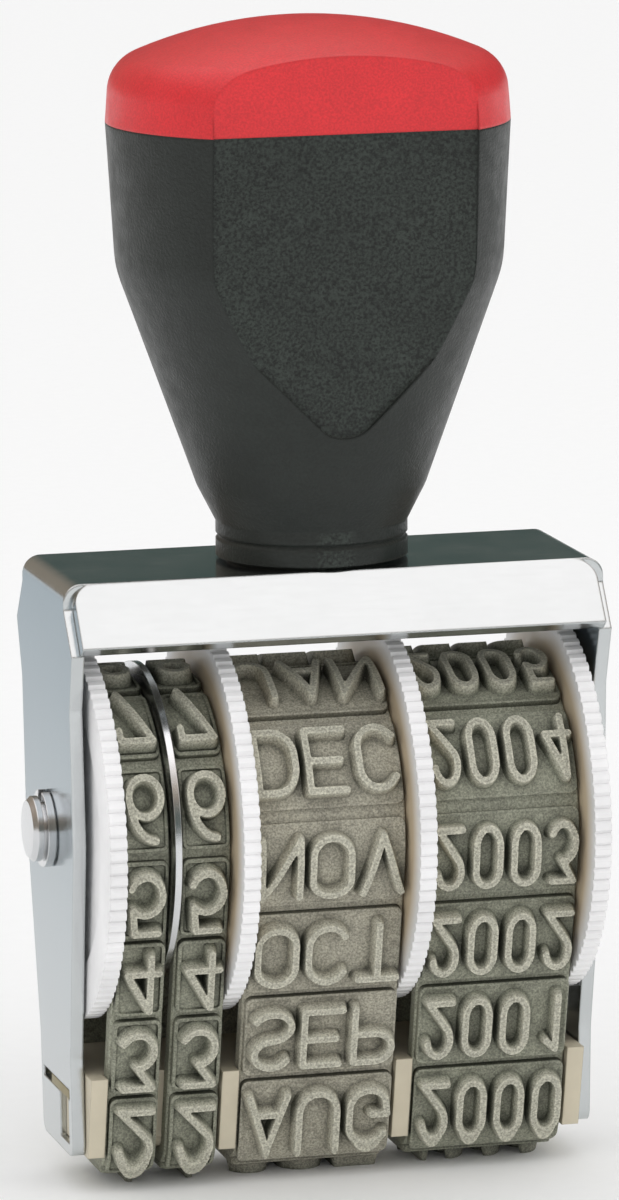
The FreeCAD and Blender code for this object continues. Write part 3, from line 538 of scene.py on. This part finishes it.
def ring_faces(pairs, count):
    """Quads between each pair of rings, which have this many points each."""
    faces = []
    for first, second in pairs:
        near = first * count
        far = second * count
        for index in range(count):
            after = (index + 1) % count
            faces.append([near + index, near + after, far + after, far + index])
    return faces


def closed_strip(builder, centre, width):
    """The band itself: a closed strip with slightly rounded outer edges."""
    runs = np.concatenate([
        np.linspace(0, FLAT, FLAT_POINTS)[:-1],
        np.linspace(FLAT, FLAT + CORNER_RUN, CORNER_POINTS)[:-1],
        np.linspace(FLAT + CORNER_RUN, ON_DRUM, STRAIGHT_POINTS)[:-1],
        np.linspace(ON_DRUM, HALF, DRUM_POINTS),
    ])
    runs = np.concatenate([runs, 2 * HALF - runs[-2:0:-1]])
    half = width / 2
    x = centre + np.array([-half, -half, -half + STRIP_EDGE, half - STRIP_EDGE, half, half])
    out = np.array([0.0, BASE - STRIP_EDGE, BASE, BASE, BASE - STRIP_EDGE, 0.0])
    count = len(x)
    rings = len(runs)
    faces = ring_faces([(ring, (ring + 1) % rings) for ring in range(rings)], count)
    builder.bent(np.tile(x, rings), np.repeat(runs, count), np.tile(out, rings),
                 np.full(count * rings, STRIP_PROUD), faces)


def pad_border():
    """The grid's column and row, and the angle that looks outwards, all the way round a pad."""
    corner = [90.0 * step / PAD_TURNS for step in range(PAD_TURNS + 1)]
    border = [(column, 0, -90.0) for column in range(PAD_COLUMNS)]
    border += [(PAD_COLUMNS, 0, angle - 90.0) for angle in corner]
    border += [(PAD_COLUMNS, row, 0.0) for row in range(1, PAD_ROWS)]
    border += [(PAD_COLUMNS, PAD_ROWS, angle) for angle in corner]
    border += [(column, PAD_ROWS, 90.0) for column in range(PAD_COLUMNS - 1, 0, -1)]
    border += [(0, PAD_ROWS, angle + 90.0) for angle in corner]
    border += [(0, row, 180.0) for row in range(PAD_ROWS - 1, 0, -1)]
    border += [(0, 0, angle + 180.0) for angle in corner[:-1]]
    return border


def pad_faces(border, rings):
    """Quads of a pad: its rings, the seam to the grid of its floor, and the floor."""
    count = len(border)
    start = rings * count
    last = start - count
    faces = ring_faces([(ring, ring + 1) for ring in range(rings - 1)], count)
    inner = [start + column * (PAD_ROWS + 1) + row for column, row, angle in border]
    for index in range(count):
        after = (index + 1) % count
        face = [last + index, last + after, inner[after], inner[index]]
        if inner[after] == inner[index]:
            face.pop()
        faces.append(face)
    for column in range(PAD_COLUMNS):
        for row in range(PAD_ROWS):
            one = start + column * (PAD_ROWS + 1) + row
            other = one + PAD_ROWS + 1
            faces.append([one, one + 1, other + 1, other])
    return faces


def pad_mesh(builder, centre, station, width, length, rim, rim_height):
    """A rounded pad bent over the band, with a raised rim round its floor."""
    grid_x = np.linspace(PAD_CORNER - width / 2, width / 2 - PAD_CORNER, PAD_COLUMNS + 1)
    grid_run = np.linspace(PAD_CORNER - length / 2, length / 2 - PAD_CORNER, PAD_ROWS + 1)
    border = pad_border()
    border_x = np.array([grid_x[column] for column, row, angle in border])
    border_run = np.array([grid_run[row] for column, row, angle in border])
    angles = np.radians([angle for column, row, angle in border])
    rings = [
        (PAD_CORNER, BASE - PAD_SINK, 0.0),
        (PAD_CORNER, PAD - PAD_EDGE, SIDE_PROUD),
        (PAD_CORNER - PAD_EDGE, PAD, RIM_PROUD),
        (PAD_CORNER - rim, PAD, RIM_PROUD),
        (PAD_CORNER - rim - PAD_EDGE, PAD - rim_height, 0.0),
    ]
    # A rim as wide as the corners leaves no room for the inner rings
    rings = [ring for ring in rings if ring[0] > LEAST_LOOP]
    floor_x, floor_run = np.meshgrid(grid_x, grid_run, indexing="ij")
    x = np.concatenate([border_x + np.cos(angles) * ring[0] for ring in rings] + [floor_x.ravel()])
    run = np.concatenate([border_run + np.sin(angles) * ring[0] for ring in rings] + [floor_run.ravel()])
    out = np.append(np.repeat([ring[1] for ring in rings], len(border)), np.full(floor_x.size, rings[-1][1]))
    proud = np.append(np.repeat([ring[2] for ring in rings], len(border)), np.zeros(floor_x.size))
    scale = row_scale(station, BASE)
    builder.bent(centre + x, station + run * scale, out, proud, pad_faces(border, len(rings)))


# Strokes of the characters, in a box one wide and one high
def bow(x, y, wide, high, start, end, steps=14):
    turns = [math.radians(start + (end - start) * step / steps) for step in range(steps + 1)]
    return [(x + wide * math.cos(turn), y + high * math.sin(turn)) for turn in turns]


BOWL = [(0, 1), (0.55, 1)] + bow(0.55, 0.74, 0.45, 0.26, 90, -90) + [(0, 0.48)]
RING = bow(0.5, 0.7, 0.5, 0.3, 0, 180) + bow(0.5, 0.3, 0.5, 0.3, 180, 360) + [(1, 0.7)]
OPEN_RING = bow(0.5, 0.66, 0.5, 0.34, 30, 180) + bow(0.5, 0.34, 0.5, 0.34, 180, 330)
ROUND_BACK = bow(0.45, 0.6, 0.55, 0.4, 90, 0) + bow(0.45, 0.4, 0.55, 0.4, 0, -90)
STROKES = {
    "0": [RING],
    "1": [[(0.3, 0.84), (0.7, 1), (0.7, 0)]],
    "2": [bow(0.5, 0.70, 0.48, 0.30, 170, -35) + [(0.02, 0), (1, 0)]],
    "3": [[(0.05, 1), (0.95, 1), (0.45, 0.6)] + bow(0.46, 0.31, 0.52, 0.31, 80, -150)],
    "4": [[(0.74, 0), (0.74, 1), (0, 0.3), (1, 0.3)]],
    "5": [[(0.9, 1), (0.16, 1), (0.08, 0.56)] + bow(0.47, 0.33, 0.53, 0.33, 135, -150)],
    "6": [bow(0.5, 0.31, 0.5, 0.31, 0, 360, 26), bow(0.8, 0.31, 0.8, 0.69, 180, 92)],
    "7": [[(0, 0.8), (0, 1), (1, 1), (0.2, 0)]],
    "8": [bow(0.5, 0.76, 0.42, 0.24, 0, 360, 24), bow(0.5, 0.26, 0.5, 0.26, 0, 360, 24)],
    "9": [bow(0.5, 0.69, 0.5, 0.31, 0, 360, 26), bow(0.2, 0.69, 0.8, 0.69, 0, -88)],
    "A": [[(0, 0), (0.5, 1), (1, 0)], [(0.17, 0.34), (0.83, 0.34)]],
    "B": [[(0, 0.52), (0, 1), (0.55, 1)] + bow(0.55, 0.76, 0.4, 0.24, 90, -90) + [(0, 0.52)],
          [(0, 0.52), (0.58, 0.52)] + bow(0.58, 0.26, 0.42, 0.26, 90, -90) + [(0, 0), (0, 0.52)]],
    "C": [OPEN_RING],
    "D": [[(0, 0), (0, 1), (0.45, 1)] + ROUND_BACK + [(0, 0)]],
    "E": [[(0.95, 1), (0, 1), (0, 0), (1, 0)], [(0, 0.52), (0.85, 0.52)]],
    "F": [[(1, 1), (0, 1), (0, 0)], [(0, 0.52), (0.82, 0.52)]],
    "G": [OPEN_RING + [(1, 0.46), (0.6, 0.46)]],
    "J": [[(0.85, 1), (0.85, 0.3)] + bow(0.43, 0.3, 0.42, 0.3, 0, -165)],
    "L": [[(0.05, 1), (0.05, 0), (1, 0)]],
    "M": [[(0, 0), (0, 1), (0.5, 0.25), (1, 1), (1, 0)]],
    "N": [[(0, 0), (0, 1), (1, 0), (1, 1)]],
    "O": [RING],
    "P": [[(0, 0)] + BOWL],
    "R": [[(0, 0)] + BOWL, [(0.5, 0.48), (1, 0)]],
    "S": [bow(0.5, 0.75, 0.46, 0.25, 30, 270) + bow(0.5, 0.25, 0.5, 0.25, 90, -150)],
    "T": [[(0, 1), (1, 1)], [(0.5, 1), (0.5, 0)]],
    "U": [[(0, 1), (0, 0.36)] + bow(0.5, 0.36, 0.5, 0.36, 180, 360) + [(1, 1)]],
    "V": [[(0, 1), (0.5, 0), (1, 1)]],
    "Y": [[(0, 1), (0.5, 0.48), (1, 1)], [(0.5, 0.48), (0.5, 0)]],
}


def reach_of(strokes, x, y):
    """Distance of each point to the nearest stroke's middle line, and the way out from it."""
    nearest = np.full(x.shape, FAR)
    out_x = np.zeros(x.shape)
    out_y = np.zeros(x.shape)
    for stroke in strokes:
        for (x0, y0), (x1, y1) in zip(stroke[:-1], stroke[1:]):
            square = max((x1 - x0) ** 2 + (y1 - y0) ** 2, NOTHING ** 2)
            along = np.clip(((x - x0) * (x1 - x0) + (y - y0) * (y1 - y0)) / square, 0.0, 1.0)
            off_x = x - x0 - along * (x1 - x0)
            off_y = y - y0 - along * (y1 - y0)
            away = np.hypot(off_x, off_y)
            closer = away < nearest
            nearest = np.where(closer, away, nearest)
            out_x = np.where(closer, off_x / np.maximum(away, NOTHING), out_x)
            out_y = np.where(closer, off_y / np.maximum(away, NOTHING), out_y)
    return nearest, out_x, out_y


def character(builder, letter, centre, station, width, settings):
    """A raised character: flat face, sloped flanks, its top towards the foot of the band."""
    half = settings.stroke / 2
    flank = settings.flank
    box_x = width - settings.stroke
    box_y = TYPE_LENGTH - settings.stroke
    strokes = [[((x - 0.5) * box_x, (y - 0.5) * box_y) for x, y in stroke] for stroke in STROKES[letter]]
    margin = flank + settings.grid
    columns = int((width + 2 * margin) / settings.grid) + 1
    rows = int((TYPE_LENGTH + 2 * margin) / settings.grid) + 1
    xs = np.linspace(-width / 2 - margin, width / 2 + margin, columns)
    ys = np.linspace(-TYPE_LENGTH / 2 - margin, TYPE_LENGTH / 2 + margin, rows)
    x, y = np.meshgrid(xs, ys, indexing="ij")
    away, out_x, out_y = reach_of(strokes, x, y)
    # Points near the edge of the face or of the foot move onto it
    for edge in (half, half + flank):
        step = np.where(np.abs(away - edge) < settings.grid * 0.5, edge - away, 0.0)
        x = x + out_x * step
        y = y + out_y * step
        away = away + step
    level = np.clip((half + flank - away) / flank, 0.0, 1.0)
    filled = np.maximum.reduce([level[:-1, :-1], level[1:, :-1], level[:-1, 1:], level[1:, 1:]]) > 0
    used = np.zeros(level.shape, bool)
    for right in (0, 1):
        for up in (0, 1):
            used[right:columns - 1 + right, up:rows - 1 + up] |= filled
    number = np.zeros(level.shape, int)
    number[used] = np.arange(used.sum())
    faces = [[number[i, j], number[i + 1, j], number[i + 1, j + 1], number[i, j + 1]]
             for i, j in np.argwhere(filled)]
    offset = PAD - TYPE_SINK + level[used] * (RELIEF + TYPE_SINK)
    proud = level + CREST * np.clip(1.0 - away / half, 0.0, 1.0)
    run = station - y[used] * row_scale(station, PAD)
    builder.bent(centre + x[used], run, offset, proud[used], faces)


class Layout(NamedTuple):
    """Sizes of a band's characters and pads, in metres"""

    letter: float
    letter_gap: float
    pad_gap: float
    rim: float
    rim_height: float


def band(name, words, layout, material, settings):
    """One type band with its pads and characters, in place of the plain one."""
    low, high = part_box("band_" + name)
    centre = (low.x + high.x) / 2
    width = high.x - low.x
    pitch = 2 * HALF / len(words)
    builder = Builder()
    closed_strip(builder, centre, width)
    for row, word in enumerate(words):
        station = row * pitch
        pad_mesh(builder, centre, station, width - PAD_MARGIN, pitch - layout.pad_gap, layout.rim,
                 layout.rim_height)
        for place, letter in enumerate(word):
            shift = (place - (len(word) - 1) / 2) * (layout.letter + layout.letter_gap)
            character(builder, letter, centre + shift, station, layout.letter, settings)
    made = builder.finish("type_band_" + name, material)
    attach(made, ROOT)
    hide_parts("band_" + name)


class STAMP_OT_bands(bpy.types.Operator):
    """Build the four rubber bands with their pads and characters"""

    bl_idname = "stamp.type_bands"
    bl_label = "Type bands"

    def execute(self, context):
        settings = context.scene.stamp_type
        colours = context.scene.stamp_colours
        day = Layout(letter=2.95 * MM, letter_gap=0.0, pad_gap=0.45 * MM,
                     rim=settings.rim, rim_height=settings.rim_height)
        month = Layout(letter=3.45 * MM, letter_gap=0.5 * MM, pad_gap=0.5 * MM,
                       rim=0.2 * MM, rim_height=0.05 * MM)
        year = month._replace(letter=2.35 * MM, letter_gap=0.62 * MM)
        years = [str(settings.first_year + step) for step in range(YEAR_COUNT)] + [""]
        plain = rubber("type_rubber_skin", tuple(colours.rubber), tuple(colours.rubber_face))
        # Paler rubber for the month band
        lightened = rubber("type_rubber_lightened", tuple(colours.rubber_lightened), tuple(colours.rubber_face))
        band("day_tens", DAYS, day, plain, settings)
        band("day_units", DAYS, day, plain, settings)
        band("month", MONTHS, month, lightened, settings)
        band("year", years, year, plain, settings)
        return {"FINISHED"}


class STAMP_OT_wheels(bpy.types.Operator):
    """Give the thumbwheels, drums and platen their plastic"""

    bl_idname = "stamp.wheels"
    bl_label = "Wheels and platen"

    def execute(self, context):
        colours = context.scene.stamp_colours
        white = plastic("wheel_plastic", tuple(colours.wheel), rough=0.42, radius=0.08 * MM)
        # Painted shade on the sides of the last three wheels, darkest near the drum
        painted_side_shade = plastic("wheel_plastic_painted_side_shade", tuple(colours.wheel), rough=0.42, radius=0.08 * MM,
                           side=tuple(colours.wheel_painted_side_shade))
        cream = plastic("cream_plastic_skin", tuple(colours.cream), rough=0.45, radius=0.15 * MM)
        paint(["thumbwheel_" + WHEELS[0]], white)
        paint(["thumbwheel_" + name for name in WHEELS[1:]], painted_side_shade)
        paint(["drum_" + name for name in WHEELS] + ["platen"], cream)
        return {"FINISHED"}


class STAMP_OT_metal(bpy.types.Operator):
    """Give the frame and the turned pieces their metal"""

    bl_idname = "stamp.metal"
    bl_label = "Metal pieces"

    def execute(self, context):
        colours = context.scene.stamp_colours
        nickel = metal("nickel_plate", tuple(colours.nickel), rough=0.17, radius=0.25 * MM,
                       stretch=(0.15, 1.0, 1.0), marks=0.05, tarnish=0.04, shade=tuple(colours.nickel_painted_shade))
        steel = metal("turned_steel", tuple(colours.steel), rough=0.2, radius=0.1 * MM, marks=0.2)
        brass = metal("dull_brass", tuple(colours.bar), rough=0.38, radius=0.1 * MM)
        paint(["frame"], nickel)
        paint(["axle", "axle_clips", "day_divider", "handle_screw", "screw_washer"], steel)
        paint(["platen_bar"], brass)
        return {"FINISHED"}


class STAMP_OT_handle(bpy.types.Operator):
    """Give the grip and the cap their grained plastic"""

    bl_idname = "stamp.handle"
    bl_label = "Grip and cap"

    def execute(self, context):
        colours = context.scene.stamp_colours
        grip = plastic("grip_plastic", tuple(colours.grip), rough=0.4, radius=0.3 * MM, wear=0.15,
                       grain=0.6, grain_scale=4200.0, panel=True, gloss=0.36)
        cap = plastic("cap_plastic", tuple(colours.cap), rough=0.38, radius=0.3 * MM, wear=0.06,
                      grain=0.09, grain_scale=6000.0)
        paint(["handle_grip"], grip)
        paint(["handle_cap"], cap)
        return {"FINISHED"}


# Stage
def flat_floor(tone):
    corners = [(-FLOOR_REACH, -FLOOR_REACH, 0), (FLOOR_REACH, -FLOOR_REACH, 0),
               (FLOOR_REACH, FLOOR_REACH, 0), (-FLOOR_REACH, FLOOR_REACH, 0)]
    mesh = bpy.data.meshes.new("floor")
    mesh.from_pydata(corners, [], [(0, 1, 2, 3)])
    mesh.materials.append(paper(tone))
    made = bpy.data.objects.new("floor", mesh)
    bpy.context.scene.collection.objects.link(made)
    return made


def soft_light(name, place, aim, power, tint):
    lamp = bpy.data.lights.new(name, "AREA")
    lamp.shape = "SQUARE"
    lamp.size = LAMP_SIZE
    lamp.energy = power
    lamp.color = tint
    made = bpy.data.objects.new(name, lamp)
    made.location = place
    made.rotation_euler = (aim - place).to_track_quat("-Z", "Y").to_euler()
    bpy.context.scene.collection.objects.link(made)
    return made


def surround(scene, strength):
    """An even white world, which shiny surfaces see as walls and a sky."""
    world = bpy.data.worlds.new("surround")
    world.use_nodes = True
    scene.world = world
    tree = world.node_tree
    background = tree.nodes["Background"]
    background.inputs["Strength"].default_value = strength
    way = parts_of(tree, tree.nodes.new("ShaderNodeTexCoord").outputs["Generated"])
    left = spread(tree, way["X"], low=1.0, high=0.0, first=-0.15, last=0.18)
    seen = mixed(tree, left, LOW_RIGHT, LOW_LEFT)
    seen = mixed(tree, share(tree, way["Z"], first=0.3, last=0.5), seen, WARM_STRIP)
    seen = mixed(tree, share(tree, way["Z"], first=0.55, last=0.85), seen, SKY)
    shiny = tree.nodes.new("ShaderNodeLightPath").outputs["Is Glossy Ray"]
    link(tree, mixed(tree, shiny, grey(1.0), seen), background.inputs["Color"])


def photo_camera(scene, focal):
    """The camera where the photograph was taken from."""
    yaw = math.radians(YAW)
    pitch = math.radians(PITCH)
    roll = math.radians(ROLL)
    ahead = Vector((math.sin(yaw) * math.cos(pitch), math.cos(yaw) * math.cos(pitch), -math.sin(pitch)))
    level = Vector((math.cos(yaw), -math.sin(yaw), 0.0))
    upright = level.cross(ahead)
    right = level * math.cos(roll) + upright * math.sin(roll)
    up = upright * math.cos(roll) - level * math.sin(roll)
    lens = bpy.data.cameras.new("camera")
    lens.sensor_fit = "VERTICAL"
    lens.sensor_height = SENSOR
    lens.lens = focal
    lens.clip_start = NEAR_CLIP
    lens.clip_end = FAR_CLIP
    camera = bpy.data.objects.new("camera", lens)
    turned = Matrix((right, up, -ahead)).transposed().to_4x4()
    camera.matrix_world = Matrix.Translation(EYE) @ turned
    scene.collection.objects.link(camera)
    scene.camera = camera


class STAMP_OT_stage(bpy.types.Operator):
    """Set the floor, the light and the camera"""

    bl_idname = "stamp.stage"
    bl_label = "Stage"

    def execute(self, context):
        scene = context.scene
        settings = scene.stamp_stage
        floor = flat_floor(settings.floor)
        key = soft_light("key", KEY_PLACE, KEY_AIM, settings.key, KEY_TINT)
        fill = soft_light("fill", FILL_PLACE, FILL_AIM, settings.fill, FILL_TINT)
        surround(scene, settings.surround)
        photo_camera(scene, settings.lens)
        scene.view_settings.view_transform = "Standard"
        scene.view_settings.look = "None"
        scene.render.use_compositing = False
        return {"FINISHED"}


class STAMP_PT_panel(bpy.types.Panel):
    """Settings and steps of the date stamp"""

    bl_idname = "STAMP_PT_panel"
    bl_label = "Date Stamp"
    bl_space_type = "VIEW_3D"
    bl_region_type = "UI"
    bl_category = "Date Stamp"

    def draw(self, context):
        layout = self.layout
        for key, group in SETTINGS:
            box = layout.box()
            for word in group.__annotations__:
                box.prop(getattr(context.scene, key), word)
        for operator in OPERATORS:
            layout.operator(operator.bl_idname)


SETTINGS = (
    ("stamp_type", StampTypeSettings),
    ("stamp_colours", StampColourSettings),
    ("stamp_stage", StampStageSettings),
)
OPERATORS = (STAMP_OT_bands, STAMP_OT_wheels, STAMP_OT_metal, STAMP_OT_handle, STAMP_OT_stage)


def register():
    for key, group in SETTINGS:
        bpy.utils.register_class(group)
        setattr(bpy.types.Scene, key, PointerProperty(type=group))
    for operator in OPERATORS:
        bpy.utils.register_class(operator)
    bpy.utils.register_class(STAMP_PT_panel)


def unregister():
    bpy.utils.unregister_class(STAMP_PT_panel)
    for operator in reversed(OPERATORS):
        bpy.utils.unregister_class(operator)
    for key, group in reversed(SETTINGS):
        delattr(bpy.types.Scene, key)
        bpy.utils.unregister_class(group)


def main():
    register()
    bpy.ops.stamp.type_bands()
    bpy.ops.stamp.wheels()
    bpy.ops.stamp.metal()
    bpy.ops.stamp.handle()
    bpy.ops.stamp.stage()


if __name__ == "__main__":
    main()
